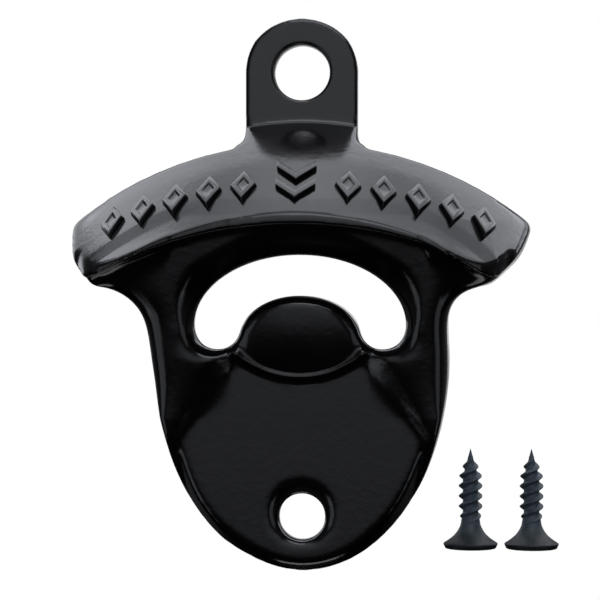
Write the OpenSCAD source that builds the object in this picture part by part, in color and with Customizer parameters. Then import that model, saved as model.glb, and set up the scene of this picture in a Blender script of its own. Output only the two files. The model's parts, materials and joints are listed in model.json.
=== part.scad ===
// Wall-mounted bottle opener: one casting and the two screws that hold it.
// The wall is the plane Y = 0, the front faces -Y, Z is up.
// The origin is on the wall, on the axis of the upper screw hole.

/* [Ear] */
// Radius of the round ear
ear_r = 8.7; // [7.6:0.1:11]
// Thickness of the ear
ear_t = 4.4; // [3.6:0.1:6]
// Radius of the fillets between the ear and the hood
ear_fillet = 1.6; // [0.5:0.1:3]

/* [Hood] */
// Half of the hood's width at the wall
hood_half_w = 36; // [34:0.1:38]
// Radius of the hood's top edge, seen from the front
hood_edge_r = 56.4; // [52:0.1:64]
// Height of the hood's top edge below the origin, at the middle
hood_edge_drop = 10.9; // [10:0.1:12]
// Radius of the upper corner at the hood's ends
hood_tip_r = 1.8; // [1.2:0.1:3]
// Radius of the round lower side of the hood's ends
hood_end_r = 7.2; // [6:0.1:8]
// Height of the straight side between the two
hood_end_h = 2.2; // [1:0.1:3]
// Height of the line where the roof leaves the ear, below the origin
roof_drop = 7.8; // [7:0.1:9]
// Slope of the roof below the horizontal, in degrees
roof_slope = 36.4; // [32:0.1:40]
// Radius of the roof's arch, square to the slope
roof_r = 59.6; // [54:0.1:70]
// How far the nose stands out from the wall
nose_out = 24.2; // [22:0.1:27]
// Radius of the nose's front in plan
nose_plan_r = 420; // [300:5:600]
// Radius of the nose's two corners in plan
nose_corner_r = 11; // [9:0.1:12]
// Distance of the corners' middles from the centre line
nose_corner_x = 22.5; // [21.5:0.1:23]
// Height of the nose's lower edge below the origin, at the middle
nose_drop = 23.9; // [23.2:0.1:24.3]
// Radius of the arch along the nose's lower edge
nose_edge_r = 63.6; // [58:0.1:72]

/* [Relief on the hood] */
// How far the relief stands out of the roof
relief_h = 0.7; // [0.3:0.1:1.2]
// Distance of the relief's middle from the ear, down the slope
relief_along = 18; // [15:0.1:19]
// Length of a lozenge down the slope
lozenge_l = 8.6; // [4:0.1:10]
// Width of a lozenge
lozenge_w = 4.4; // [2:0.1:4.8]
// Spacing of the lozenges along the arch
lozenge_pitch = 5.3; // [5:0.1:5.4]
// Lozenges on each side
lozenge_count = 5; // [1:1:5]
// Width of the two chevrons in the middle
chevron_w = 6; // [4:0.1:7]
// Stroke of a chevron
chevron_stroke = 1.9; // [1:0.1:2.4]

/* [Cheeks and mouth] */
// Depth of the cheeks' front face at the top of the mouth
cheek_out = 16; // [15:0.1:18]
// Lean of the cheeks' front face, in degrees
cheek_lean = 14; // [10:0.5:16]
// Radius of the hollow where the hood's ends meet the cheeks
cheek_fillet = 6; // [3:0.1:7]
// Slope of the cheeks' feet against the plate, in degrees
foot_slope = 40; // [35:1:56]
// Half width of the mouth in the cheeks' front face
mouth_front_half_w = 19.1; // [18:0.1:19.8]
// Height of the mouth's roof below the origin, in the cheeks' front face
mouth_front_drop = 24.9; // [24.6:0.1:26]
// Half width of the mouth at its narrow edge
mouth_half_w = 16.3; // [15.5:0.1:17]
// Height of the mouth's roof below the origin, at its narrow edge
mouth_drop = 28.6; // [28:0.1:29.4]
// Depth of the narrow edge at the mouth's roof
mouth_edge_out = 11.4; // [10.8:0.1:12.2]
// Lean of the narrow edge, in degrees
mouth_lean = 11; // [8:0.5:13]
// Height of the mouth's widest line below the origin
mouth_mid_drop = 39.4; // [39:0.1:40]
// Radius of the two round corners of the mouth
lobe_r = 3.6; // [3:0.1:3.9]
// How much the mouth widens behind its narrow edge
mouth_widen = 0.7; // [0.4:0.1:1]

/* [Tongue] */
// Half width of the tongue
tongue_half_w = 9.2; // [8.6:0.1:9.8]
// Height of the tongue's round edge, from its tip down to its widest line
tongue_h = 6.4; // [5.8:0.1:7]
// Height of the tongue's tip below the origin
tongue_drop = 34.8; // [34:0.1:36]
// How far the tongue's lip stands out from the wall
tongue_out = 11.8; // [11:0.1:13]
// Step from the plate up to the tongue
tongue_step = 1.3; // [0.6:0.1:1.6]
// Width of the sloping rim along the tongue's edge
tongue_rim = 1.7; // [1:0.1:2.2]
// Half width of the tongue's flared root
tongue_root_half_w = 11.2; // [10.4:0.1:12]

/* [Plate] */
// Half width of the shield at the wall
shield_half_w = 23.2; // [22.6:0.1:25]
// Height of the shield's round end
shield_end_h = 34.3; // [32:0.1:38]
// Height of the shield's widest line below the origin
shield_mid_drop = 43.9; // [43:0.1:45]
// Thickness of the plate at the lower screw hole
plate_t = 5; // [4.4:0.1:6]
// Lean of the plate's face, top outward, in degrees
plate_lean = 9; // [4:0.5:11]
// Bevel of the plate's edge
plate_bevel = 1.5; // [0.8:0.1:2.5]

/* [Hollow back] */
// Wall left by the hollows in the back
wall = 3.2; // [2.6:0.1:3.6]
// Width of the rim round the hollow behind the plate
back_rim_w = 4; // [3:0.1:5]
// Radius of the boss round the lower screw hole
boss_r = 7; // [6:0.1:8]

/* [Screw holes] */
// Diameter of the upper screw hole
upper_hole_d = 8; // [7.4:0.1:8.2]
// Diameter of the upper hole's countersink at the face
upper_sink_d = 9.6; // [9.2:0.1:11]
// Diameter of the lower screw hole
lower_hole_d = 7.3; // [6:0.1:7.6]
// Diameter of the lower hole's countersink, on the axis at the face
lower_sink_d = 9.8; // [9:0.1:11]
// Height of the lower screw hole below the origin
lower_hole_drop = 69.3; // [66:0.1:70]

/* [Screws] */
// Diameter of a screw's head
screw_head_d = 8.4; // [8.3:0.1:9]
// Thickness of the head's rim
screw_rim_h = 0.7; // [0.4:0.1:1.2]
// Height of the flared neck under the head
screw_neck_h = 2.8; // [2:0.1:3.4]
// Length of a screw with its head
screw_l = 15.4; // [14:0.1:20]
// Diameter over the thread
thread_d = 3.5; // [3:0.1:4]
// Diameter of the thread's root
root_d = 2.4; // [2:0.1:2.6]
// Pitch of the thread
thread_pitch = 1.5; // [1.2:0.1:2]
// Length of the screw's plain point
point_l = 1.7; // [1.2:0.1:2.4]
// Distance of the first screw's axis from the middle
screw_x = 26.2; // [26:0.1:34]
// Clearance between the two screws' heads
screw_gap = 1; // [0.9:0.1:5]
// Height of the screws' heads below the origin, as they stand beside the plate
screw_drop = 73.9; // [72:0.1:76]
// Width of the cross recess
recess_w = 4.2; // [3:0.1:5]
// Depth of the cross recess
recess_h = 1.8; // [1:0.1:2.2]

/* [Hidden] */
$fn = 96;
// Larger than the whole opener
far = 120;
// How far a cut runs past the face it opens
past = 1;

// The casting tapers towards its front by this much over draft_h
draft_h = 30;
draft_scale = 0.94;

// Centres and angles of the arcs along the outline
hood_edge_z = -hood_edge_drop - hood_edge_r;
tip_x = hood_half_w - hood_tip_r;
tip_z = hood_edge_z + sqrt(pow(hood_edge_r - hood_tip_r, 2) - pow(tip_x, 2));
ear_fillet_x = ear_r + ear_fillet;
ear_fillet_z = hood_edge_z + sqrt(pow(hood_edge_r + ear_fillet, 2) - pow(ear_fillet_x, 2));
ear_fillet_end = atan2(hood_edge_z - ear_fillet_z, -ear_fillet_x) + 360;
// Lean of the hood's ends, inward to the foot
end_lean = 8;
cheek_inset = 0.1;
cheek_half_w = shield_half_w - cheek_inset;
cheek_end_h = shield_end_h - cheek_inset;
hollow_x = cheek_half_w + cheek_fillet;
end_x = tip_x + (hood_tip_r - hood_end_r) * cos(end_lean) - hood_end_h * sin(end_lean);
end_z = tip_z - (hood_tip_r - hood_end_r) * sin(end_lean) - hood_end_h * cos(end_lean);
hollow_z = end_z - sqrt(pow(hood_end_r + cheek_fillet, 2) - pow(end_x - hollow_x, 2));
hollow_start = atan2(end_z - hollow_z, end_x - hollow_x);
hood_end = atan2(tip_z - hood_edge_z, tip_x);
end_end = atan2(hollow_z - end_z, hollow_x - end_x);
shield_mid_z = -shield_mid_drop;
lower_hole_z = -lower_hole_drop;

// The ear's neck runs under the roof to this depth
neck_out = 13;
// A point where the cheek's foot meets the plate
foot_x = 11;
foot_z = -46.3;

// The tongue's face is part of a large ball
tongue_z = -tongue_drop - tongue_h;
root_z = shield_mid_z - 0.5;
ball_z = -31.4;
ball_foot = 15.1;
ball_lip = 5.2;
tongue_foot = plate_out(ball_z - ball_foot) + tongue_step;
ball_y = ((pow(ball_lip, 2) - pow(ball_foot, 2)) + pow(tongue_out, 2) - pow(tongue_foot, 2))
    / (2 * (tongue_out - tongue_foot));
ball_r = sqrt(pow(tongue_foot - ball_y, 2) + pow(ball_foot, 2));
rim_out = tongue_out + tongue_rim / 2;
rim_base = 1 + tongue_out / tongue_half_w;
rim_top = 1 - tongue_rim / tongue_half_w;

// The mouth widens to the front from its narrow edge
mouth_reach = cheek_out + 1;
front_part = (mouth_reach - mouth_edge_out) / (cheek_out - mouth_edge_out);
lobe_out = mouth_edge_out - (mouth_mid_drop + lobe_r - mouth_drop) * tan(mouth_lean);
lobe_low = 6;
edge_skin = 0.02;
lip = 1.2;

// Nose in plan: middles of its arcs, where the front turns into the corner, and lean of the side
nose_y = nose_plan_r - nose_out;
nose_corner_y = nose_y - sqrt(pow(nose_plan_r - nose_corner_r, 2) - pow(nose_corner_x, 2));
nose_turn = atan2(nose_corner_y - nose_y, nose_corner_x);
nose_side = 16;
nose_side_x = nose_corner_x + nose_corner_r * cos(nose_side)
    + (past - nose_corner_y + nose_corner_r * sin(nose_side)) * tan(nose_side);
// The hollows in the back stop short of the mouth
hood_hollow_low = -nose_drop - 2 * wall;
plate_hollow_top = -mouth_mid_drop - lobe_r - 3 * wall;

// Relief: how deep it is rooted, where the lozenges start, and the shape of the chevrons
relief_root = 0.4;
lozenge_start = 7.8;
chevron_rise = 3.4;
chevron_step = 2.3;

// Screws: radii and the heights of neck, thread and rod
screw_y = -screw_head_d / 2;
root_r = root_d / 2;
shank_r = root_r + 0.25;
head_r = screw_head_d / 2;
rim_chamfer = screw_rim_h / 2;
neck_top = screw_rim_h + screw_neck_h;
neck_bend = 2.4;
neck_points = 8;
thread_from = neck_top + 1;
thread_to = screw_l - point_l + 0.3;
thread_fade = 0.8;
recess_slot = 0.9;
// The threaded rod starts inside the shank, a turn and a bit below its end
rod_root = 0.2;
rod_from = thread_from - thread_pitch - rod_root;
rod_sides = 16;
rod_turns = floor((screw_l - point_l - rod_from) / thread_pitch);
// Each turn has three lines: root, crest and root
lines = 3;
line_at = [0, 0.32, 0.64];
top_line = lines * rod_turns;

// Distance of the plate's face from the wall at height z
function plate_out(z) = plate_t + (z - lower_hole_z) * tan(plate_lean);

// Points on an arc about c
function arc(c, r, from, to, n = 12) =
    [for (i = [0:n]) let (a = from + (to - from) * i / n) c + r * [cos(a), sin(a)]];

// Right half of the ear, down to the fillet on the hood's top edge
function half_ear() = concat(
    arc([0, 0], ear_r, 90, 0, 24),
    arc([ear_fillet_x, ear_fillet_z], ear_fillet, 180, ear_fillet_end, 6),
    [[ear_r, ear_fillet_z - ear_r], [0, ear_fillet_z - ear_r]]);

// Right half of the front outline, from the hood's top edge down to the end of the shield
function half_outline() = concat(
    arc([0, hood_edge_z], hood_edge_r, 90, hood_end, 18),
    arc([tip_x, tip_z], hood_tip_r, hood_end, -end_lean, 6),
    arc([end_x, end_z], hood_end_r, -end_lean, end_end, 12),
    arc([hollow_x, hollow_z], cheek_fillet, hollow_start, 180, 8),
    [for (a = [0:4:90]) [cheek_half_w * cos(a), shield_mid_z - cheek_end_h * sin(a)]]);

// A flat shape in the XZ plane, given a thickness between two distances from the wall
module slab(from, to) translate([0, -from, 0]) rotate([90, 0, 0]) linear_extrude(to - from) children();

module both_sides() {
    children();
    mirror([1, 0, 0]) children();
}

function mirrored(half) = concat(half, [for (i = [len(half) - 1:-1:0]) [-half[i][0], half[i][1]]]);

module outline() polygon(mirrored(half_outline()));

module ear_outline() polygon(mirrored(half_ear()));

// The outline as it tapers away from the wall
module block() translate([0, 0, shield_mid_z]) rotate([90, 0, 0])
    linear_extrude(draft_h, scale = draft_scale) translate([0, -shield_mid_z]) outline();

// Everything behind a leaning plane that is out from the wall by d at height z
module behind(d, z, lean) translate([0, -d, z]) rotate([lean, 0, 0]) translate([-far, 0, -far])
    cube([2 * far, far, 2 * far]);

// Frame on the roof's middle line: y points up the slope, z out of the roof
module on_roof() translate([0, -ear_t, -roof_drop]) rotate([roof_slope, 0, 0]) children();

module under_roof(inset = 0) on_roof() translate([0, far, -roof_r]) rotate([90, 0, 0])
    cylinder(r = roof_r - inset, h = 2 * far, $fn = 180);

// Right half of the nose in plan: nearly straight front, round corner, leaning side
function half_nose() = concat(
    arc([0, nose_y], nose_plan_r, -90, nose_turn, 4),
    arc([nose_corner_x, nose_corner_y], nose_corner_r, nose_turn, -nose_side, 14),
    [[nose_side_x, past]]);

module nose_front() translate([0, 0, -far]) linear_extrude(far) polygon(mirrored(half_nose()));

module above_nose_edge() difference() {
    translate([-far, -far, -far]) cube([2 * far, 2 * far, far]);
    translate([0, far, -nose_drop - nose_edge_r]) rotate([90, 0, 0])
        cylinder(r = nose_edge_r, h = 2 * far, $fn = 180);
}

// Hood, cheeks and the neck of the ear, all under one roof
module upper_half() intersection() {
    under_roof();
    union() {
        slab(0, neck_out) ear_outline();
        intersection() {
            block();
            union() {
                intersection() {
                    nose_front();
                    above_nose_edge();
                }
                both_sides() cheek_room();
            }
        }
    }
}

// Room that one cheek takes up: behind its leaning face, above its slanted foot on the plate,
// and right across over the mouth
module cheek_room() intersection() {
    behind(cheek_out, -mouth_front_drop, cheek_lean);
    translate([-past, -far, -far]) cube([far, 2 * far, far]);
    union() {
        translate([-far, -far, -mouth_drop]) cube([2 * far, 2 * far, far]);
        translate([foot_x, -plate_out(foot_z), foot_z]) rotate([0, 45, 0]) rotate([foot_slope - 90, 0, 0])
            translate([-far, -far, 0]) cube([2 * far, 2 * far, far]);
    }
}

module shield_shape() polygon([for (a = [180:4:360]) [shield_half_w * cos(a), shield_end_h * sin(a)]]);

module plate() intersection() {
    translate([0, 0, shield_mid_z]) rotate([90, 0, 0])
        linear_extrude(2 * plate_t, scale = 1 - 2 * plate_bevel / shield_half_w) shield_shape();
    behind(plate_t, lower_hole_z, plate_lean);
}

// The tongue from the front, about the middle of its widest line: a round edge that flares into
// a wider root, drawn larger by grow
function half_tongue(grow) = concat(
    [for (a = [90:-6:0]) grow * [tongue_half_w * cos(a), tongue_h * sin(a)]],
    [grow * [tongue_root_half_w, root_z - tongue_z],
        grow * [tongue_root_half_w / 2, root_z - tongue_z - tongue_root_half_w / 2]]);

module tongue_shape(grow = 1) polygon(mirrored(half_tongue(grow)));

// The tongue's face is part of a ball, its foot a round step on the plate, its rim slopes back
module tongue() intersection() {
    translate([0, -ball_y, ball_z]) sphere(r = ball_r, $fn = 160);
    translate([0, 0, tongue_z]) slab(0, rim_out + 1) tongue_shape();
    translate([0, 0, ball_z]) rotate([90, 0, 0]) cylinder(r = ball_foot, h = far);
    translate([0, 0, tongue_z]) rotate([90, 0, 0])
        linear_extrude(rim_out, scale = rim_top / rim_base) tongue_shape(rim_base);
}

// The mouth from the front: an arch of half width w up to height top, with a round corner at
// each end that is lower by low, all drawn larger by grow
function half_mouth(w, top, low, grow) = let (mid = -mouth_mid_drop) concat(
    [for (a = [90:-5:5]) [(w + grow) * cos(a), mid + (top - mid + grow) * sin(a)]],
    arc([w - lobe_r, mid - low], lobe_r + grow, 0, -180, 24));

module mouth_shape(w, top, low = 0, grow = 0) polygon(mirrored(half_mouth(w, top, low, grow)));

// A measure of the mouth, carried on from its narrow edge to the depth of mouth_reach
function at_reach(edge, front) = edge + (front - edge) * front_part;

module mouth() {
    slab(-past, mouth_edge_out + past) mouth_shape(mouth_half_w, -mouth_drop);
    slab(-past, lobe_out - lip) mouth_shape(mouth_half_w, -mouth_drop, 0, mouth_widen);
    hull() {
        translate([0, -mouth_edge_out, -mouth_drop]) rotate([mouth_lean, 0, 0])
            slab(0, edge_skin) translate([0, mouth_drop]) mouth_shape(mouth_half_w, -mouth_drop);
        slab(mouth_reach, mouth_reach + edge_skin) mouth_shape(
            at_reach(mouth_half_w, mouth_front_half_w), at_reach(-mouth_drop, -mouth_front_drop), lobe_low);
    }
}

module upper_hole() rotate([90, 0, 0]) {
    sink = upper_sink_d - upper_hole_d;
    translate([0, 0, -past]) cylinder(d = upper_hole_d, h = ear_t + 2 * past);
    translate([0, 0, ear_t - sink]) cylinder(d1 = upper_hole_d, d2 = upper_hole_d + 2 * sink, h = 2 * sink);
}

module lower_hole() translate([0, 0, lower_hole_z]) rotate([90, 0, 0]) {
    translate([0, 0, -past]) cylinder(d = lower_hole_d, h = 2 * plate_t);
    translate([0, 0, plate_t - (lower_sink_d - lower_hole_d) / 2])
        cylinder(d1 = lower_hole_d, d2 = lower_hole_d + 4 * plate_t, h = 2 * plate_t);
}

module hollow_under_hood() intersection() {
    slab(-past, neck_out) intersection() {
        translate([0, hood_edge_z]) circle(r = hood_edge_r - wall, $fn = 180);
        translate([-hood_half_w + 2 * wall, hood_hollow_low])
            square([2 * (hood_half_w - 2 * wall), -hood_hollow_low]);
    }
    under_roof(wall);
    difference() {
        translate([-far, -far, -far]) cube([2 * far, 2 * far, far]);
        mouth_shell();
    }
}

// Solid kept round the mouth
module mouth_shell() slab(-2 * past, far) mouth_shape(mouth_front_half_w, -mouth_front_drop, 0, wall);

module hollow_behind_plate() slab(-past, plate_t - wall) difference() {
    intersection() {
        translate([0, shield_mid_z]) polygon([for (a = [180:6:360])
            [(shield_half_w - back_rim_w) * cos(a), (shield_end_h - back_rim_w) * sin(a)]]);
        translate([-far, plate_hollow_top - far]) square([2 * far, far]);
    }
    translate([0, lower_hole_z]) circle(r = boss_r);
}

module lozenge() polygon([[0, lozenge_l / 2], [lozenge_w / 2, 0], [0, -lozenge_l / 2], [-lozenge_w / 2, 0]]);

// Right half of a chevron that points down the slope
function half_chevron() = [[0, 0], [chevron_w / 2, chevron_rise],
    [chevron_w / 2, chevron_rise - chevron_stroke], [0, -chevron_stroke]];

module chevron() polygon(mirrored(half_chevron()));

// A flat shape raised out of the roof, at an angle round the arch and a distance down the slope
module raised(angle, along) on_roof() translate([0, 0, -roof_r]) rotate([0, angle, 0])
    translate([0, -along, roof_r - relief_root]) linear_extrude(relief_root + relief_h) children();

module relief() {
    for (side = [-1, 1], i = [0:lozenge_count - 1])
        raised(side * (lozenge_start + i * lozenge_pitch) / roof_r * 180 / PI, relief_along) lozenge();
    for (step = [-1, 1]) raised(0, relief_along + step * chevron_step) chevron();
}

module opener_body() color([0.07, 0.07, 0.075]) {
    difference() {
        union() {
            difference() {
                union() {
                    slab(0, ear_t) ear_outline();
                    upper_half();
                    plate();
                }
                mouth();
                hollow_under_hood();
                hollow_behind_plate();
            }
            tongue();
            relief();
        }
        upper_hole();
        lower_hole();
    }
}

// One screw on the Z axis: the head's face at z = 0, the point upward
module screw_head() rotate_extrude() polygon(concat(
    [[0, 0], [head_r - rim_chamfer, 0], [head_r, rim_chamfer]],
    [for (i = [0:neck_points]) let (u = i / neck_points)
        [shank_r + (head_r - shank_r) * pow(1 - u, neck_bend), screw_rim_h + u * screw_neck_h]],
    [[shank_r, thread_from], [0, thread_from]]));

function core_r(z) = root_r * min(1, (screw_l - z) / point_l);

function ridge_h(z) = (thread_d / 2 - root_r)
    * max(0, min(1, (z - thread_from) / thread_fade, (thread_to - z) / thread_fade));

function rod_point(side, line) = let (
        turn = floor(line / lines) + line_at[line % lines] + side / rod_sides,
        z = rod_from + thread_pitch * turn,
        r = core_r(z) + (line % lines == 1 ? ridge_h(z) : 0),
        a = 360 * side / rod_sides)
    [r * cos(a), r * sin(a), z];

// Number of a point on the rod: past the last side it is on the next turn
function rod_index(side, line) = side == rod_sides ? line + lines : side * (top_line + 1) + line;

// Threaded rod with its point, one screw surface
module threaded_rod() {
    points = [for (side = [0:rod_sides - 1], line = [0:top_line]) rod_point(side, line)];
    foot = len(points);
    skin = [for (side = [0:rod_sides - 1], line = [0:top_line - 1 - (side == rod_sides - 1 ? lines : 0)])
        let (a = rod_index(side, line), b = rod_index(side + 1, line))
            each [[a, a + 1, b + 1], [a, b + 1, b]]];
    low = concat([for (side = [0:rod_sides]) rod_index(side, 0)], [for (line = [lines - 1:-1:0]) line]);
    high = concat([for (side = [0:rod_sides - 1]) rod_index(side, top_line)],
        [for (k = [1:lines]) rod_index(rod_sides - 1, top_line - k)], [top_line]);
    polyhedron(concat(points, [[0, 0, rod_from - rod_root / 2], [0, 0, screw_l]]), concat(skin,
        [for (i = [0:len(low) - 2]) [low[i], low[i + 1], foot]],
        [for (i = [0:len(high) - 2]) [high[i + 1], high[i], foot + 1]]));
}

module cross_recess() for (turn = [0, 90]) rotate([0, 0, turn])
    translate([-recess_w / 2, -recess_slot / 2, -past]) cube([recess_w, recess_slot, recess_h + past]);

module screw() difference() {
    union() {
        screw_head();
        threaded_rod();
    }
    cross_recess();
}

module upper_screw() color([0.14, 0.16, 0.18])
    translate([screw_x, screw_y, -screw_drop]) screw();

module lower_screw() color([0.14, 0.16, 0.18])
    translate([screw_x + screw_head_d + screw_gap, screw_y, -screw_drop]) screw();

opener_body();
upper_screw();
lower_screw();
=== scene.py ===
import json
import math
import bpy
from mathutils import Matrix, Vector

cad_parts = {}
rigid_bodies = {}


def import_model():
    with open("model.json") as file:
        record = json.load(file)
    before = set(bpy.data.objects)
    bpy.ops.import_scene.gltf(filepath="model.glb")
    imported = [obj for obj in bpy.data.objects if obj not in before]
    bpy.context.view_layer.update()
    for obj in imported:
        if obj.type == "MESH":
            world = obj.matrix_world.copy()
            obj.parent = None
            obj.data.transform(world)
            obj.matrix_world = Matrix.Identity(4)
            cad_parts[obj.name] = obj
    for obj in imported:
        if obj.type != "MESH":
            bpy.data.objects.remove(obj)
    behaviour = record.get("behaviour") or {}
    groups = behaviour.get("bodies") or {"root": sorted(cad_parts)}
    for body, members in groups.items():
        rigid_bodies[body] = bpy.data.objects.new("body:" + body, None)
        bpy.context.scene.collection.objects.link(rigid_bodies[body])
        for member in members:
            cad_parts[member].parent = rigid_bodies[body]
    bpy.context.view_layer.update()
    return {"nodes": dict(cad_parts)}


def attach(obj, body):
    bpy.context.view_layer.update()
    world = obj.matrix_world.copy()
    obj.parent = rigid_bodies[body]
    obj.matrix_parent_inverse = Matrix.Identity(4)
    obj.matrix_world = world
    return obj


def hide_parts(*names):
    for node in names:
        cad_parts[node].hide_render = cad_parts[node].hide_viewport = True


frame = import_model()


# The casting: ear, hood, mouth with its tongue and shield plate in one piece of iron.
# It is cast in sand and fettled, so its edges and corners are rounded, then dipped in gloss
# black paint. Two screws through the ear and the plate hold it to the wall.
MM = 0.001
CAST_SEAM = 0.002
CAST_CELL = 0.28


def pick(piece):
    bpy.ops.object.select_all(action="DESELECT")
    piece.select_set(True)
    bpy.context.view_layer.objects.active = piece


def add_and_apply(piece, kind, **settings):
    pick(piece)
    bpy.ops.object.modifier_add(type=kind)
    modifier = piece.modifiers[-1]
    for name, value in settings.items():
        setattr(modifier, name, value)
    bpy.ops.object.modifier_apply(modifier=modifier.name)


pick(frame["nodes"]["opener_body"])
bpy.ops.object.duplicate()
casting = bpy.context.object
casting.name = "casting_painted"
bpy.ops.object.parent_clear(type="CLEAR_KEEP_TRANSFORM")
bpy.ops.object.mode_set(mode="EDIT")
bpy.ops.mesh.select_all(action="SELECT")
bpy.ops.mesh.remove_doubles(threshold=CAST_SEAM * MM)
bpy.ops.object.mode_set(mode="OBJECT")
add_and_apply(casting, "REMESH", mode="VOXEL", voxel_size=CAST_CELL * MM, adaptivity=0.0)

# Roof and outline: the relief is a piece of its own, so the roof is brought to its bare, crowned arch.
EAR_THICKNESS = 4.4
ROOF_DROP = 7.8
ROOF_SLOPE = math.radians(36.4)
ROOF_R = 59.6
ROOF_LENGTH = 25.0
ROOF_SKIN = 0.12
ROOF_CROWN = 0.4
CROWN_EDGE = 1.02
CROWN_BLEND = 0.2
RELIEF_FROM = 11.0
RELIEF_TO = 23.5
RELIEF_HEIGHT = 0.7
RELIEF_MARGIN = 0.3
# Each pair is a height on the edge of hood and plate, and how far the edge is shifted there.
RIGHT_FINISH = [(-44, 0), (-38.5, -0.3), (-34, -0.9), (-32.3, -1.9), (-31, -2.1),
                (-29.6, -1.5), (-27, -0.8), (-23.5, 0)]
LEFT_FINISH = [(-78, -0.7), (-66, -0.7), (-61, -0.3), (-57, 0), (-48, 0),
               (-44, -0.4), (-38.5, -1.0), (-34, -2.0), (-32, 0)]
HOOD_FINISH = 18.5
PLATE_FINISH = 8.0
PLATE_FINISH_TOP = -50.0
FINISH_FADE = 4.0


def spot_of(vertex):
    """Across, out from the wall and up, in millimetres."""
    return vertex.co.x / MM, -vertex.co.y / MM, vertex.co.z / MM


def within(low, value, high):
    return max(low, min(value, high))


def ramp(value, start, full):
    """Goes from 0 at start to 1 at full."""
    return within(0, (value - start) / (full - start), 1)


def on_roof(x, out, z):
    """Distance down the sloping roof from the ear, lift off its slope and height over its arch."""
    along = (out - EAR_THICKNESS) * math.cos(ROOF_SLOPE) - (z + ROOF_DROP) * math.sin(ROOF_SLOPE)
    lift = (out - EAR_THICKNESS) * math.sin(ROOF_SLOPE) + (z + ROOF_DROP) * math.cos(ROOF_SLOPE)
    return along, lift, math.hypot(x, lift + ROOF_R) - ROOF_R


def crown(along):
    """How far the roof stands above a straight slope: two gentle slopes that run together halfway."""
    part = 2 * along / ROOF_LENGTH - 1
    height = (CROWN_EDGE - math.hypot(part, CROWN_BLEND)) / (CROWN_EDGE - CROWN_BLEND)
    return ROOF_CROWN * max(0.0, height)


def hand_finish(x, z):
    """How far the outline was left off its drawn line: the two ends of the hood are not alike."""
    line = RIGHT_FINISH if x > 0 else LEFT_FINISH
    start = HOOD_FINISH if z > PLATE_FINISH_TOP else PLATE_FINISH
    for (low, shift), (high, next_shift) in zip(line, line[1:]):
        if low <= z < high:
            here = shift + (next_shift - shift) * (z - low) / (high - low)
            return here * ramp(abs(x), start, start + FINISH_FADE)
    return 0.0


for vertex in casting.data.vertices:
    x, out, z = spot_of(vertex)
    along, lift, over = on_roof(x, out, z)
    in_relief = RELIEF_FROM < along < RELIEF_TO and over < RELIEF_HEIGHT + RELIEF_MARGIN
    if along > 0 and (abs(over) < ROOF_SKIN or in_relief and over > 0):
        draw_in = ROOF_R / (over + ROOF_R)
        lift = (lift + ROOF_R) * draw_in - ROOF_R + crown(along)
        out = EAR_THICKNESS + along * math.cos(ROOF_SLOPE) + lift * math.sin(ROOF_SLOPE)
        z = lift * math.cos(ROOF_SLOPE) - along * math.sin(ROOF_SLOPE) - ROOF_DROP
        vertex.co = (x * draw_in * MM, -out * MM, z * MM)
    vertex.co.x += hand_finish(x, z) * MM

# Rounding: a little all over, and much more where the casting was fettled by hand.
ROUNDING_STEP = 0.5
ALL_OVER_PASSES = 22
SOFT_PASSES = 450
EAR_BASE = -7.0
EAR_EVENNESS = 0.35
HOLE_RIM = 6.0
HOLE_EVENNESS = 0.1
NOSE_FROM = 18.5
WING_FROM = 30.0
WING_SOFTNESS = 0.1
PLATE_TOP = -54.0
PLATE_SOFTNESS = 0.05
FOOT_TOP = -48.0
EAR_FOOT = -9.0
ROOF_UNDER = -0.6
BACK_RIM = 3.5
BACK_SOFTNESS = 0.1
TONGUE_SIDE = 11.0
TONGUE_TOP = -33.0
TONGUE_SOFTNESS = 0.08
MOUTH_SIDE = 19.0
MOUTH_FOOT = -45.0
MOUTH_SOFT_FROM = -40.0
MOUTH_SOFT_FALL = 10.0
MOUTH_SOFTNESS = (0.03, 0.25)


def evenness(x, out, z):
    """How much the all-over rounding takes: less on the ear, least at its hole."""
    if math.hypot(x, z) < HOLE_RIM:
        return HOLE_EVENNESS
    return EAR_EVENNESS if z > EAR_BASE else 1.0


def softness(x, out, z):
    """How much a spot of the casting was rounded by hand: most on the cheeks and in the mouth."""
    if abs(x) > WING_FROM:
        return WING_SOFTNESS
    if z < PLATE_TOP:
        return PLATE_SOFTNESS
    if z > EAR_FOOT or on_roof(x, out, z)[2] > ROOF_UNDER:
        return 0.0
    if out < BACK_RIM:
        return BACK_SOFTNESS
    if out > NOSE_FROM:
        return 0.0
    if abs(x) < TONGUE_SIDE and z < TONGUE_TOP:
        return TONGUE_SOFTNESS
    if abs(x) < MOUTH_SIDE and z > MOUTH_FOOT:
        low, high = MOUTH_SOFTNESS
        return within(low, (MOUTH_SOFT_FROM - z) / MOUTH_SOFT_FALL, high)
    if z < FOOT_TOP:
        return max(PLATE_SOFTNESS, (z - PLATE_TOP) / (FOOT_TOP - PLATE_TOP))
    return 1.0


def round_off(piece, name, passes, weight_at):
    """Smooths a piece in passes, each spot as much as weight_at says."""
    group = piece.vertex_groups.new(name=name)
    for vertex in piece.data.vertices:
        weight = weight_at(*spot_of(vertex))
        if weight > 0:
            group.add([vertex.index], weight, "REPLACE")
    add_and_apply(piece, "SMOOTH", factor=ROUNDING_STEP, iterations=passes, vertex_group=name)


round_off(casting, "evenly_rounded", ALL_OVER_PASSES, evenness)
round_off(casting, "softly_rounded", SOFT_PASSES, softness)

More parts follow.
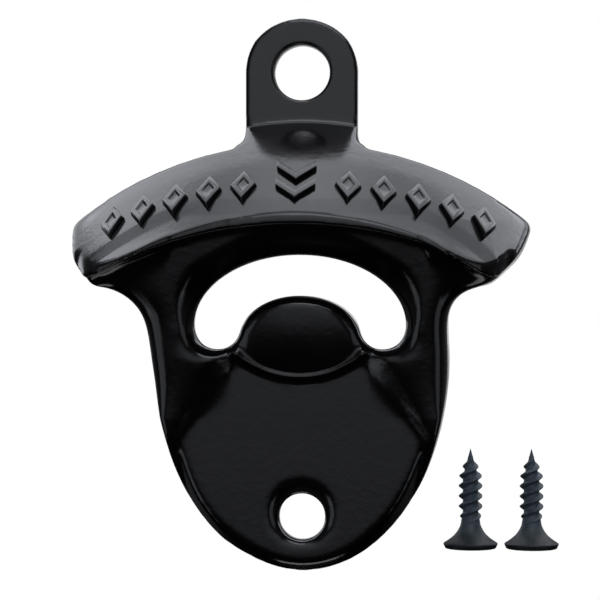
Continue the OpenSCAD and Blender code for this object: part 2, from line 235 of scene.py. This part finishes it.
# Mouth, tongue, ear, hole and nose: what filing, paint and use have done to their forms.
EAR_TRIM = 0.4
EAR_TRIM_FROM = 4.8
EAR_TRIM_FULL = 8.3
HOLE_REAM = 0.33
HOLE_SINK = 2.8
HOLE_FILL = 0.42
HOLE_FADE_END = 7.0
HOLE_FADE_FROM = 5.2
NOSE_TOP = -20.5
NOSE_FADE = 2.0
NOSE_FALL = 0.45
FLARE = 2.4
FLARE_DEPTH = (11.4, 16.0)
FLARE_WALL = (21.8, 17.2)
FLARE_SIDE = (9.0, 14.0)
FLARE_LOW = (-47.0, -43.0)
FLARE_HIGH = (-27.0, -31.0)
TONGUE_HALF_W = 11.5
TONGUE_FULL_W = 9.5
TONGUE_LOW = -48.2
TONGUE_HIGH = -34.2
TONGUE_BACK = 5.0
TONGUE_FRONT = 9.0
TONGUE_FACE = (9.4, 5.4, -41.0)
TONGUE_BULGE = 0.12
TONGUE_LEAN = 0.085
TONGUE_LEAN_SIDE = (11.0, 8.0)
TONGUE_FOOT = -46.0
TONGUE_EDGE = (9.2, 6.4, -41.2)
TONGUE_EDGE_W = 1.8
TONGUE_EDGE_R = 1.6
TONGUE_EDGE_FADE = 2.0
LIP_R = 15.0
LIP_MIDDLE = -32.4
LIP_W = 0.8
LIP_FALL = 0.52
LIP_HEIGHT = 1.2
LIP_TOP = (-41.5, -43.0)


def flare(x, out, z):
    """How far the mouth's side walls open towards the front, none at the cheeks' outer edge."""
    deep = ramp(out, *FLARE_DEPTH) * ramp(abs(x), *FLARE_WALL)
    middle = ramp(abs(x), *FLARE_SIDE) * ramp(z, *FLARE_LOW) * ramp(z, *FLARE_HIGH)
    return math.copysign(FLARE * deep * middle, x)


def tongue_swell(x, z):
    """How far the tongue stands out: its round face, the lip at its foot and its worn upper edge."""
    half_w, half_h, middle = TONGUE_FACE
    face = TONGUE_BULGE * max(0.0, 1 - (x / half_w) ** 2 - ((z - middle) / half_h) ** 2)
    face += TONGUE_LEAN * max(0.0, z - TONGUE_FOOT) * ramp(abs(x), *TONGUE_LEAN_SIDE)
    ridge = math.hypot(x, z - LIP_MIDDLE) - LIP_R
    ridge /= LIP_FALL if ridge > 0 else LIP_W
    lip = LIP_HEIGHT * math.exp(-ridge * ridge) * ramp(z, *LIP_TOP)
    half_w, half_h, middle = TONGUE_EDGE
    inside = (1 - math.hypot(x / half_w, (z - middle) / half_h)) * half_h
    worn = ramp(inside, TONGUE_EDGE_W, 0) * ramp(z, middle - TONGUE_EDGE_FADE, middle + TONGUE_EDGE_FADE)
    return face + lip - TONGUE_EDGE_R * (1 - math.sqrt(1 - worn * worn))


for vertex in casting.data.vertices:
    x, out, z = spot_of(vertex)
    vertex.co.x += flare(x, out, z) * MM
    vertex.co.z -= EAR_TRIM * ramp(z, EAR_TRIM_FROM, EAR_TRIM_FULL) * MM
    reach = math.hypot(x, z)
    if reach < HOLE_FADE_END:
        moved = HOLE_REAM - HOLE_FILL * max(0.0, out - HOLE_SINK)
        opened = 1 + moved * ramp(reach, HOLE_FADE_END, HOLE_FADE_FROM) / reach
        vertex.co.x *= opened
        vertex.co.z *= opened
    nose = ramp(out, NOSE_FROM, NOSE_FROM + NOSE_FADE) * ramp(z, NOSE_TOP, NOSE_TOP - NOSE_FADE)
    vertex.co.z -= NOSE_FALL * nose * MM
    if abs(x) < TONGUE_HALF_W and TONGUE_LOW < z < TONGUE_HIGH:
        deep = ramp(out, TONGUE_BACK, TONGUE_FRONT) * ramp(abs(x), TONGUE_HALF_W, TONGUE_FULL_W)
        vertex.co.y -= tongue_swell(x, z) * deep * MM
casting.vertex_groups.clear()
CASTING_TRIANGLES = 190000
triangles = sum(len(face.vertices) - 2 for face in casting.data.polygons)
add_and_apply(casting, "DECIMATE", ratio=min(1.0, CASTING_TRIANGLES / triangles))
bpy.ops.object.shade_smooth()

CLOUD_DETAIL = 4.0
GRAIN_DETAIL = 2.5
CLOUD_TONES = (0.35, 0.65)
CLOUD_GLOSS = (0.3, 0.7)

grain_group = bpy.data.node_groups.new("cast_and_coated_grain", "ShaderNodeTree")
for way, sockets in (("INPUT", ("Cloud Scale", "Grain Scale")), ("OUTPUT", ("Cloud", "Height"))):
    for socket in sockets:
        grain_group.interface.new_socket(socket, in_out=way, socket_type="NodeSocketFloat")
grain_in = grain_group.nodes.new("NodeGroupInput")
grain_out = grain_group.nodes.new("NodeGroupOutput")
grain_place = grain_group.nodes.new("ShaderNodeTexCoord")
for scale, result, detail in (("Cloud Scale", "Cloud", CLOUD_DETAIL),
                              ("Grain Scale", "Height", GRAIN_DETAIL)):
    noise = grain_group.nodes.new("ShaderNodeTexNoise")
    noise.inputs["Detail"].default_value = detail
    grain_group.links.new(grain_place.outputs["Object"], noise.inputs["Vector"])
    grain_group.links.new(grain_in.outputs[scale], noise.inputs["Scale"])
    grain_group.links.new(noise.outputs["Fac"], grain_out.inputs[result])


def stretched(tree, value, start, end, low=0.0, high=1.0):
    """A value's stretch from start to end, brought to low to high."""
    node = tree.nodes.new("ShaderNodeMapRange")
    node.inputs["From Min"].default_value = start
    node.inputs["From Max"].default_value = end
    node.inputs["To Min"].default_value = low
    node.inputs["To Max"].default_value = high
    tree.links.new(value, node.inputs["Value"])
    return node.outputs["Result"]


def coated(name, dark, light, smooth, rough, cloud_scale, grain_scale, grain_depth, ior):
    """Material of a coated surface: two tones and two glosses in soft clouds, over a fine grain."""
    material = bpy.data.materials.new(name)
    material.use_nodes = True
    tree = material.node_tree
    shader = tree.nodes["Principled BSDF"]
    shader.inputs["IOR"].default_value = ior
    grain = tree.nodes.new("ShaderNodeGroup")
    grain.node_tree = grain_group
    grain.inputs["Cloud Scale"].default_value = cloud_scale
    grain.inputs["Grain Scale"].default_value = grain_scale
    tone = tree.nodes.new("ShaderNodeValToRGB")
    for element, position, colour in zip(tone.color_ramp.elements, CLOUD_TONES, (dark, light)):
        element.position = position
        element.color = (*colour, 1)
    tree.links.new(grain.outputs["Cloud"], tone.inputs["Fac"])
    tree.links.new(tone.outputs["Color"], shader.inputs["Base Color"])
    gloss = stretched(tree, grain.outputs["Cloud"], *CLOUD_GLOSS, smooth, rough)
    tree.links.new(gloss, shader.inputs["Roughness"])
    bump = tree.nodes.new("ShaderNodeBump")
    bump.inputs["Distance"].default_value = grain_depth
    tree.links.new(grain.outputs["Height"], bump.inputs["Height"])
    tree.links.new(bump.outputs["Normal"], shader.inputs["Normal"])
    return material


gloss_black = coated(
    "gloss_black_paint", dark=(0.0018, 0.0018, 0.0020), light=(0.0028, 0.0028, 0.0031),
    smooth=0.13, rough=0.20, cloud_scale=160.0, grain_scale=900.0, grain_depth=0.00002, ior=1.5)
casting.data.materials.clear()
casting.data.materials.append(gloss_black)
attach(casting, "casting")
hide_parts("opener_body")


# The relief on the hood: a row of lozenges on each side of two chevrons that point to the mouth.
# They are raised in the mould, so they are one metal with the hood. The lozenges have drafted
# sides, and the paint has rounded off all the corners.
RELIEF_ALONG = 18.0
RELIEF_ROOT = 0.4
RELIEF_DRAFT = 0.86
RELIEF_ROUNDING = 0.16
RELIEF_ROUNDING_STEPS = 3
RELIEF_ROUNDED_FROM = math.radians(25)
RELIEF_CREASE = math.radians(40)
LOZENGE_W = 4.4
LOZENGE_L = 8.6
LOZENGE_RIM = 0.8
LOZENGE_SINK = 0.28
LOZENGE_START = 7.8
LOZENGE_PITCH = 5.3
LOZENGES_A_SIDE = 5
CHEVRON_W = 6.0
CHEVRON_RISE = 3.4
CHEVRON_STROKE = 1.9
CHEVRON_STEP = 2.3


def raised_shape(name, corners, rim=0.0):
    """A flat shape that stands up from z = 0, rooted below it; with a rim, drafted and sunk inside it."""
    bpy.ops.object.select_all(action="DESELECT")
    bpy.ops.mesh.primitive_circle_add(vertices=len(corners), radius=MM, fill_type="NGON")
    shape = bpy.context.object
    shape.name = name
    for vertex, (x, y) in zip(shape.data.vertices, corners):
        vertex.co = (x * MM, y * MM, -RELIEF_ROOT * MM)
    bpy.ops.object.mode_set(mode="EDIT")
    bpy.ops.mesh.select_all(action="SELECT")
    bpy.ops.mesh.extrude_region_move(
        TRANSFORM_OT_translate={"value": (0, 0, (RELIEF_ROOT + RELIEF_HEIGHT) * MM)})
    if rim:
        bpy.ops.transform.resize(value=(RELIEF_DRAFT, RELIEF_DRAFT, 1))
        bpy.ops.mesh.inset(thickness=rim * MM, depth=0)
        bpy.ops.mesh.extrude_region_move(TRANSFORM_OT_translate={"value": (0, 0, -LOZENGE_SINK * MM)})
        bpy.ops.transform.resize(value=(RELIEF_DRAFT, RELIEF_DRAFT, 1))
    bpy.ops.mesh.select_all(action="SELECT")
    bpy.ops.mesh.normals_make_consistent(inside=False)
    bpy.ops.object.mode_set(mode="OBJECT")
    add_and_apply(shape, "BEVEL", width=RELIEF_ROUNDING * MM, segments=RELIEF_ROUNDING_STEPS,
                  limit_method="ANGLE", angle_limit=RELIEF_ROUNDED_FROM)
    return shape


def set_on_roof(shape, angle, along):
    """Places a raised shape on the roof, at an angle round the arch and a distance down the slope."""
    down = Matrix.Translation((0, -EAR_THICKNESS * MM, -ROOF_DROP * MM)) @ Matrix.Rotation(ROOF_SLOPE, 4, "X")
    arch = Matrix.Translation((0, 0, -ROOF_R * MM)) @ Matrix.Rotation(angle, 4, "Y")
    pick(shape)
    shape.matrix_world = down @ arch @ Matrix.Translation((0, -along * MM, (ROOF_R + crown(along)) * MM))
    bpy.ops.object.transform_apply(location=True, rotation=True, scale=True)


def copy_of(shape):
    pick(shape)
    bpy.ops.object.duplicate()
    return bpy.context.object


half_w, half_l = LOZENGE_W / 2, LOZENGE_L / 2
lozenge = raised_shape("lozenge", [(0, half_l), (-half_w, 0), (0, -half_l), (half_w, 0)], rim=LOZENGE_RIM)
half_w, shoulder = CHEVRON_W / 2, CHEVRON_RISE - CHEVRON_STROKE
chevron = raised_shape("chevron", [(0, 0), (-half_w, CHEVRON_RISE), (-half_w, shoulder),
                                   (0, -CHEVRON_STROKE), (half_w, shoulder), (half_w, CHEVRON_RISE)])
reliefs = []
for side in (-1, 1):
    for number in range(LOZENGES_A_SIDE):
        reliefs.append(copy_of(lozenge))
        set_on_roof(reliefs[-1], side * (LOZENGE_START + number * LOZENGE_PITCH) / ROOF_R, RELIEF_ALONG)
for step in (-1, 1):
    reliefs.append(copy_of(chevron))
    set_on_roof(reliefs[-1], 0, RELIEF_ALONG + step * CHEVRON_STEP)
for pattern in (lozenge, chevron):
    bpy.data.objects.remove(pattern)
bpy.ops.object.select_all(action="DESELECT")
for shape in reliefs:
    shape.select_set(True)
bpy.context.view_layer.objects.active = reliefs[0]
bpy.ops.object.join()
relief = bpy.context.object
relief.name = "relief_on_hood"
bpy.ops.object.shade_smooth_by_angle(angle=RELIEF_CREASE)
relief.data.materials.append(gloss_black)
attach(relief, "casting")


# The two screws: bugle-head wood screws of steel with a rolled two-start thread, blackened with
# phosphate, so they are matte; their colour has painted shade on the head and painted light on
# the thread. They stand on their heads beside the plate.
SCREW_SIDES = 48
SCREW_CREASE = math.radians(38)
SCREW_RINGS = [
    (3.75, 0.0), (3.86, 0.03), (3.95, 0.12), (4.1, 0.45), (4.18, 0.62), (4.2, 0.7), (4.16, 0.8), (4.0, 0.92),
    (3.55, 1.2), (3.0, 1.6), (2.5, 2.05), (2.1, 2.55), (1.8, 3.05), (1.6, 3.5), (1.5, 3.9), (1.45, 4.3),
    (1.3, 4.9), (1.2, 5.6), (1.2, 10.4), (1.12, 11.2), (0.93, 12.1), (0.7, 12.95), (0.47, 13.75),
    (0.03, 15.38),
]
SCREW_AXES = {"upper_screw": ("screw_a", 26.2), "lower_screw": ("screw_b", 35.6)}
SCREW_FRONT = -4.2
SCREW_FACE = -73.9
CROSS_SIZE = (4.2, 0.95, 3.6)
CROSS_TAPER = (0.35, 0.7)
THREAD_STARTS = 2
THREAD_PITCH = 1.57
THREAD_FROM = 3.38
THREAD_TO = 14.5
THREAD_FADE = 2.4
THREAD_ROOT_R = 1.2
THREAD_CREST_R = 1.82
THREAD_SUNK = 0.1
THREAD_HALF_ROOT = 0.58
THREAD_HALF_CREST = 0.07
THREAD_HIDDEN = 0.05
THREAD_LEAST_R = 0.01
# Painted shade on the head and painted light on the thread: how far up the head the colour is darkened, and
# by how much each is scaled.
PAINTED_SHADE_TO = 1.4
PAINTED_SHADE_FADE = 2.3
PAINTED_SHADE_TONE = 0.28
PAINTED_LIGHT_TONE = 1.7

bpy.ops.object.select_all(action="DESELECT")
bpy.ops.mesh.primitive_circle_add(vertices=SCREW_SIDES, radius=SCREW_RINGS[0][0] * MM, fill_type="NGON")
screw = bpy.context.object
bpy.ops.object.mode_set(mode="EDIT")
bpy.ops.mesh.select_all(action="SELECT")
for (low_r, low_h), (high_r, high_h) in zip(SCREW_RINGS, SCREW_RINGS[1:]):
    bpy.ops.mesh.extrude_region_move(TRANSFORM_OT_translate={"value": (0, 0, (high_h - low_h) * MM)})
    bpy.ops.transform.resize(value=(high_r / low_r, high_r / low_r, 1))
bpy.ops.mesh.select_all(action="SELECT")
bpy.ops.mesh.normals_make_consistent(inside=False)
bpy.ops.object.mode_set(mode="OBJECT")

bpy.ops.object.select_all(action="DESELECT")
bpy.ops.mesh.primitive_cube_add(size=1)
cross = bpy.context.object
cross.name = "screw_cross_punch"
cross.scale = [size * MM for size in CROSS_SIZE]
bpy.ops.object.transform_apply(location=False, rotation=False, scale=True)
for corner in cross.data.vertices:
    if corner.co.z > 0:
        corner.co.x *= CROSS_TAPER[0]
        corner.co.y *= CROSS_TAPER[1]
bpy.ops.object.duplicate()
second_bar = bpy.context.object
second_bar.rotation_euler.z = math.pi / 2
bpy.ops.object.transform_apply(location=False, rotation=True, scale=False)
for bar in (cross, second_bar):
    add_and_apply(screw, "BOOLEAN", operation="DIFFERENCE", solver="EXACT", object=bar)
    bpy.data.objects.remove(bar)

bpy.ops.object.select_all(action="DESELECT")
bpy.ops.mesh.primitive_plane_add(size=1)
thread = bpy.context.object
thread.name = "screw_thread"
thread_section = [
    (THREAD_ROOT_R - THREAD_SUNK, -THREAD_HALF_ROOT), (THREAD_CREST_R, -THREAD_HALF_CREST),
    (THREAD_ROOT_R - THREAD_SUNK, THREAD_HALF_ROOT), (THREAD_CREST_R, THREAD_HALF_CREST)]
for corner, (section_r, section_h) in zip(thread.data.vertices, thread_section):
    corner.co = (section_r * MM, 0, (section_h + THREAD_FROM) * MM)
bpy.ops.object.mode_set(mode="EDIT")
bpy.ops.mesh.select_all(action="SELECT")
bpy.ops.mesh.delete(type="ONLY_FACE")
bpy.ops.object.mode_set(mode="OBJECT")
thread_rise = THREAD_TO - THREAD_FROM
turns = thread_rise / (THREAD_STARTS * THREAD_PITCH)
thread_steps = round(SCREW_SIDES * turns)
add_and_apply(thread, "SCREW", axis="Z", angle=2 * math.pi * turns, screw_offset=thread_rise * MM,
              iterations=1, steps=thread_steps, render_steps=thread_steps)


def core_radius(h):
    for (low_r, low_h), (high_r, high_h) in zip(SCREW_RINGS, SCREW_RINGS[1:]):
        if h <= high_h:
            return low_r + (high_r - low_r) * (h - low_h) / (high_h - low_h)
    return 0.0


# The thread grows out of the core at its foot and sinks into it towards the point.
for vertex in thread.data.vertices:
    h = vertex.co.z / MM
    r = math.hypot(vertex.co.x, vertex.co.y) / MM
    core_r = core_radius(h)
    ridge = r - THREAD_ROOT_R
    swell = min(ramp(h, THREAD_FROM, THREAD_FROM + THREAD_FADE), ramp(h, THREAD_TO, THREAD_TO - THREAD_FADE))
    if ridge > 0:
        ridge += THREAD_HIDDEN - max(0.0, core_r - THREAD_ROOT_R)
        wanted = core_r - THREAD_HIDDEN + ridge * swell
    else:
        wanted = max(THREAD_LEAST_R, min(THREAD_ROOT_R, core_r) + ridge)
    vertex.co.x *= wanted / r
    vertex.co.y *= wanted / r
bpy.ops.object.mode_set(mode="EDIT")
bpy.ops.mesh.select_all(action="SELECT")
bpy.ops.mesh.fill_holes(sides=0)
bpy.ops.mesh.select_all(action="SELECT")
bpy.ops.mesh.normals_make_consistent(inside=False)
bpy.ops.object.mode_set(mode="OBJECT")
second_start = copy_of(thread)
for vertex in second_start.data.vertices:
    vertex.co.x, vertex.co.y = -vertex.co.x, -vertex.co.y
thread.select_set(True)
screw.select_set(True)
bpy.context.view_layer.objects.active = screw
bpy.ops.object.join()
pick(screw)
bpy.ops.object.shade_smooth_by_angle(angle=SCREW_CREASE)


def dimmed(tree, colour, share):
    """A colour times a share."""
    node = tree.nodes.new("ShaderNodeVectorMath")
    node.operation = "SCALE"
    tree.links.new(colour, node.inputs[0])
    tree.links.new(share, node.inputs["Scale"])
    return node.outputs["Vector"]


screw_black = coated(
    "screw_black_phosphate", dark=(0.021, 0.029, 0.037), light=(0.034, 0.045, 0.054),
    smooth=0.42, rough=0.58, cloud_scale=700.0, grain_scale=2600.0, grain_depth=0.00003, ior=1.35)
screw_tree = screw_black.node_tree
screw_base = screw_tree.nodes["Principled BSDF"].inputs["Base Color"]
screw_place = screw_tree.nodes.new("ShaderNodeTexCoord")
screw_height = screw_tree.nodes.new("ShaderNodeSeparateXYZ")
screw_tree.links.new(screw_place.outputs["Object"], screw_height.inputs["Vector"])
# Painted shade and light: the screw's colour is darkened on the head and brightened along the thread.
painted_shade_end = (SCREW_FACE + PAINTED_SHADE_TO) * MM
painted_shade_and_light = stretched(screw_tree, screw_height.outputs["Z"], painted_shade_end, painted_shade_end + PAINTED_SHADE_FADE * MM,
                  PAINTED_SHADE_TONE, PAINTED_LIGHT_TONE)
screw_tree.links.new(dimmed(screw_tree, screw_base.links[0].from_socket, painted_shade_and_light), screw_base)
screw.data.materials.append(screw_black)

screws = [screw, copy_of(screw)]
for piece, (node, (body, axis_x)) in zip(screws, SCREW_AXES.items()):
    pick(piece)
    piece.name = node + "_blackened"
    piece.location = (axis_x * MM, SCREW_FRONT * MM, SCREW_FACE * MM)
    bpy.ops.object.transform_apply(location=True, rotation=True, scale=True)
    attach(piece, body)
    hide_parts(node)


# The room: a pale floor well below, soft lamps above, behind and at both sides, and a camera level with
# the middle of the opener, a few degrees to the right of square. The camera sees white all round,
# and reflections see it on the floor and straight behind the opener, and elsewhere a dimmer studio.
FLOOR_DROP = 0.90
FLOOR_W = 0.5
FLOOR_BACK = 0.45
FLOOR_GREY = 0.75
FLOOR_ROUGH = 0.9
FLOOR_WHITE = 0.97
SKY_BANDS = [(0.19, 0.01), (0.25, 0.04), (0.315, 0.40), (0.5, 0.80), (0.65, 1.0)]
SKY_SIDE_FROM = 0.15
SKY_SIDE_TO = 0.5
SKY_SIDE_LEVEL = 0.08
SKY_BEHIND = 0.5
SKY_WHITE_FROM = 0.985
SKY_WHITE_TO = 0.995
LIGHT_TINT = (0.96, 0.99, 1.06)
LIT_MIDDLE = Vector((0, -0.01, -0.035))
CAMERA_TURN = math.radians(3.5)
CAMERA_AWAY = 0.360
CAMERA_SIDE = -0.0005
CAMERA_LEVEL = -0.0355
CAMERA_LENS = 137.3
CAMERA_SENSOR = 36.0
CAMERA_NEAR = 0.01


def reckoned(tree, operation, *values, clamp=False):
    """The result of a Math node on sockets and plain numbers."""
    node = tree.nodes.new("ShaderNodeMath")
    node.operation = operation
    node.use_clamp = clamp
    for slot, value in zip(node.inputs, values):
        if isinstance(value, float):
            slot.default_value = value
        else:
            tree.links.new(value, slot)
    return node.outputs["Value"]


bpy.ops.object.select_all(action="DESELECT")
bpy.ops.mesh.primitive_plane_add(size=FLOOR_W, location=(0, FLOOR_BACK, -FLOOR_DROP))
floor = bpy.context.object
floor.name = "floor"
bpy.ops.object.transform_apply(location=True, rotation=True, scale=True)
floor_paint = bpy.data.materials.new("pale_floor")
floor_paint.use_nodes = True
floor_tree = floor_paint.node_tree
floor_shader = floor_tree.nodes["Principled BSDF"]
floor_shader.inputs["Base Color"].default_value = (FLOOR_GREY, FLOOR_GREY, FLOOR_GREY, 1)
floor_shader.inputs["Roughness"].default_value = FLOOR_ROUGH
floor_white = floor_tree.nodes.new("ShaderNodeEmission")
floor_seen = floor_tree.nodes.new("ShaderNodeLightPath").outputs
floor_mirrored = reckoned(floor_tree, "ADD", floor_seen["Is Glossy Ray"], floor_seen["Is Transmission Ray"])
floor_shown = reckoned(floor_tree, "ADD", floor_seen["Is Camera Ray"], floor_mirrored, clamp=True)
floor_mix = floor_tree.nodes.new("ShaderNodeMixShader")
floor_tree.links.new(reckoned(floor_tree, "MULTIPLY", floor_shown, FLOOR_WHITE), floor_mix.inputs["Fac"])
floor_tree.links.new(floor_shader.outputs["BSDF"], floor_mix.inputs[1])
floor_tree.links.new(floor_white.outputs["Emission"], floor_mix.inputs[2])
floor_tree.links.new(floor_mix.outputs["Shader"], floor_tree.nodes["Material Output"].inputs["Surface"])
floor.data.materials.append(floor_paint)

world = bpy.data.worlds.new("studio")
bpy.context.scene.world = world
world.use_nodes = True
sky_tree = world.node_tree
sky_place = sky_tree.nodes.new("ShaderNodeTexCoord")
sky_way = sky_tree.nodes.new("ShaderNodeSeparateXYZ")
sky_tree.links.new(sky_place.outputs["Generated"], sky_way.inputs["Vector"])
sky_x, sky_y, sky_z = (sky_way.outputs[axis] for axis in "XYZ")
sky_ramp = sky_tree.nodes.new("ShaderNodeValToRGB")
sky_ramp.color_ramp.elements[0].position = SKY_BANDS[0][0]
sky_ramp.color_ramp.elements[1].position = SKY_BANDS[-1][0]
for position, _ in SKY_BANDS[1:-1]:
    sky_ramp.color_ramp.elements.new(position)
for band, (_, level) in zip(sky_ramp.color_ramp.elements, SKY_BANDS):
    band.color = (*(level * tint for tint in LIGHT_TINT), 1)
sky_tree.links.new(stretched(sky_tree, sky_z, -1.0, 1.0), sky_ramp.inputs["Fac"])
sky_aside = reckoned(sky_tree, "MULTIPLY_ADD", reckoned(sky_tree, "MAXIMUM", sky_y, 0.0), SKY_BEHIND,
                     reckoned(sky_tree, "ABSOLUTE", sky_x))
sky_flags = stretched(sky_tree, sky_aside, SKY_SIDE_FROM, SKY_SIDE_TO, 1.0, SKY_SIDE_LEVEL)
sky_seen = sky_tree.nodes.new("ShaderNodeLightPath").outputs
sky_mirrored = reckoned(sky_tree, "ADD", sky_seen["Is Glossy Ray"], sky_seen["Is Transmission Ray"])
sky_beyond = stretched(sky_tree, sky_y, SKY_WHITE_FROM, SKY_WHITE_TO)
sky_shown = reckoned(sky_tree, "MULTIPLY_ADD", sky_mirrored, sky_beyond, sky_seen["Is Camera Ray"],
                     clamp=True)
sky_mix = sky_tree.nodes.new("ShaderNodeMixRGB")
sky_mix.inputs["Color2"].default_value = (1, 1, 1, 1)
sky_tree.links.new(sky_shown, sky_mix.inputs["Fac"])
sky_tree.links.new(dimmed(sky_tree, sky_ramp.outputs["Color"], sky_flags), sky_mix.inputs["Color1"])
sky_tree.links.new(sky_mix.outputs["Color"], sky_tree.nodes["Background"].inputs["Color"])


def soft_lamp(name, place, width, height, radiance, aim_x=0.0):
    """A soft box that shines from its place on the opener's middle height, as bright as radiance."""
    bpy.ops.object.light_add(type="AREA", location=place)
    lamp = bpy.context.object
    lamp.name = name
    lamp.data.shape = "RECTANGLE"
    lamp.data.size = width
    lamp.data.size_y = height
    lamp.data.color = LIGHT_TINT
    lamp.data.energy = radiance * math.pi * width * height
    lamp.rotation_mode = "QUATERNION"
    lamp.rotation_quaternion = (LIT_MIDDLE + Vector((aim_x, 0, 0)) - Vector(place)).to_track_quat("-Z", "Y")


soft_lamp("lamp_above", (0.10, -0.40, 0.38), width=0.42, height=0.28, radiance=1.9)
soft_lamp("lamp_back", (0.16, 0.34, 0.46), width=1.30, height=0.26, radiance=2.4, aim_x=0.16)
soft_lamp("lamp_top", (0.0, 0.08, 0.56), width=1.6, height=0.30, radiance=1.35)
soft_lamp("lamp_rear_left", (-0.42, 0.50, 0.14), width=0.3, height=0.5, radiance=1.2)
soft_lamp("lamp_rear_right", (0.45, 0.47, 0.20), width=0.3, height=0.5, radiance=1.2)
soft_lamp("lamp_left", (-0.42, -0.26, -0.22), width=0.34, height=0.4, radiance=0.65)
soft_lamp("lamp_right", (0.42, -0.26, -0.20), width=0.28, height=0.4, radiance=0.5)
soft_lamp("lamp_low_left", (-0.38, -0.20, -0.42), width=0.12, height=0.12, radiance=0.5)
soft_lamp("lamp_low_right", (0.38, -0.20, -0.42), width=0.12, height=0.12, radiance=0.5)

camera_x = CAMERA_SIDE + CAMERA_AWAY * math.sin(CAMERA_TURN)
camera_y = -CAMERA_AWAY * math.cos(CAMERA_TURN)
bpy.ops.object.camera_add(location=(camera_x, camera_y, CAMERA_LEVEL), rotation=(math.pi / 2, 0, CAMERA_TURN))
camera = bpy.context.object
camera.data.lens = CAMERA_LENS
camera.data.sensor_width = CAMERA_SENSOR
camera.data.clip_start = CAMERA_NEAR
bpy.context.scene.camera = camera
bpy.context.scene.view_settings.view_transform = "Standard"
